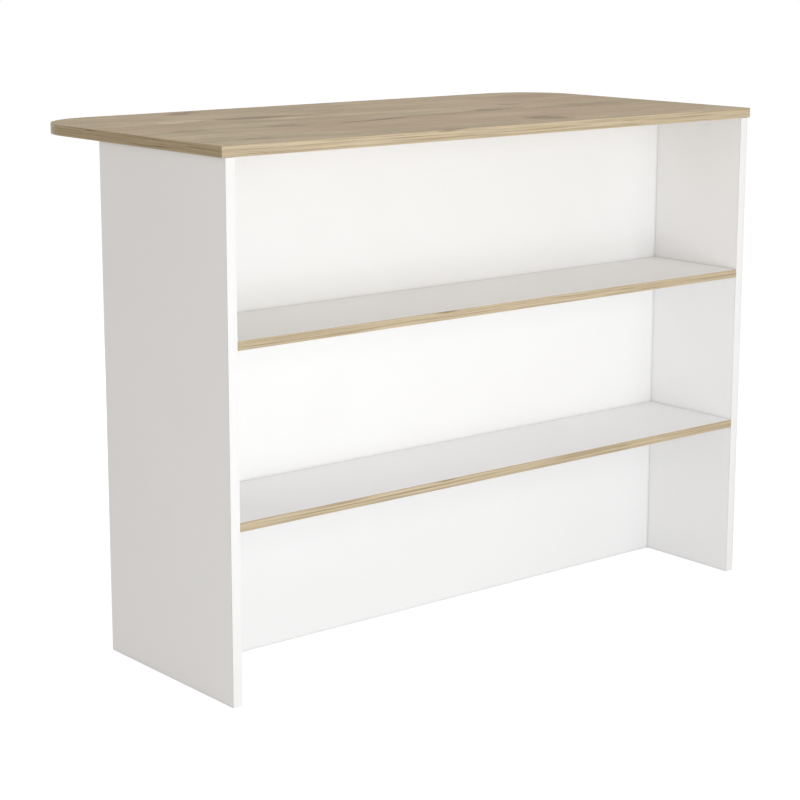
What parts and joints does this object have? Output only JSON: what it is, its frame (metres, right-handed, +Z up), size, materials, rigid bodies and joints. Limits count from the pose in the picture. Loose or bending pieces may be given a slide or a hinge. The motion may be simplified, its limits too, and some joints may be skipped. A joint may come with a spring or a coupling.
{
  "type": "bar counter with shelves",
  "caption": "Free-standing bar counter: white panel carcass with open shelves on the serving side, and an oak-faced worktop with rounded corners that overhangs the guests' side.",
  "frame": {"origin": "on the floor under the middle of the worktop", "axes": "+X along the counter to the server's right, +Y from the serving side towards the guests, +Z up"},
  "size_m": [1.2, 0.6, 0.9],
  "materials": {
    "oak_decor": "matt oak-print melamine on chipboard",
    "oak_band": "matt oak-print edge band",
    "white_melamine": "matt white melamine on chipboard",
    "white_band": "matt white edge band",
    "cam_zinc": "die-cast zinc, dull",
    "bolt_steel": "zinc-plated steel",
    "beech": "bare beech"
  },
  "bodies": {
    "root": {"counter_top": "oak_decor", "top_front_band": "oak_band", "top_wrap_band": "oak_band", "left_side_panel": "white_melamine", "right_side_panel": "white_melamine", "back_panel": "white_melamine", "upper_shelf": "white_melamine", "lower_shelf": "white_melamine", "left_front_band": "white_band", "left_rear_band": "white_band", "right_front_band": "white_band", "right_rear_band": "white_band", "upper_shelf_band": "oak_band", "lower_shelf_band": "oak_band", "upper_shelf_left_front_cam": "cam_zinc", "upper_shelf_left_rear_cam": "cam_zinc", "upper_shelf_right_front_cam": "cam_zinc", "upper_shelf_right_rear_cam": "cam_zinc", "lower_shelf_left_front_cam": "cam_zinc", "lower_shelf_left_rear_cam": "cam_zinc", "lower_shelf_right_front_cam": "cam_zinc", "lower_shelf_right_rear_cam": "cam_zinc", "back_left_lower_cam": "cam_zinc", "back_left_upper_cam": "cam_zinc", "top_left_cam": "cam_zinc", "top_back_left_cam": "cam_zinc", "back_right_lower_cam": "cam_zinc", "back_right_upper_cam": "cam_zinc", "top_right_cam": "cam_zinc", "top_back_right_cam": "cam_zinc", "upper_shelf_left_front_bolt": "bolt_steel", "upper_shelf_left_rear_bolt": "bolt_steel", "upper_shelf_right_front_bolt": "bolt_steel", "upper_shelf_right_rear_bolt": "bolt_steel", "lower_shelf_left_front_bolt": "bolt_steel", "lower_shelf_left_rear_bolt": "bolt_steel", "lower_shelf_right_front_bolt": "bolt_steel", "lower_shelf_right_rear_bolt": "bolt_steel", "back_left_lower_bolt": "bolt_steel", "back_left_upper_bolt": "bolt_steel", "top_left_bolt": "bolt_steel", "top_back_left_bolt": "bolt_steel", "back_right_lower_bolt": "bolt_steel", "back_right_upper_bolt": "bolt_steel", "top_right_bolt": "bolt_steel", "top_back_right_bolt": "bolt_steel", "upper_shelf_left_dowel": "beech", "lower_shelf_left_dowel": "beech", "back_left_dowel": "beech", "top_left_dowel": "beech", "upper_shelf_rear_left_dowel": "beech", "lower_shelf_rear_left_dowel": "beech", "upper_shelf_right_dowel": "beech", "lower_shelf_right_dowel": "beech", "back_right_dowel": "beech", "top_right_dowel": "beech", "upper_shelf_rear_right_dowel": "beech", "lower_shelf_rear_right_dowel": "beech"}
  },
  "joints": []
}
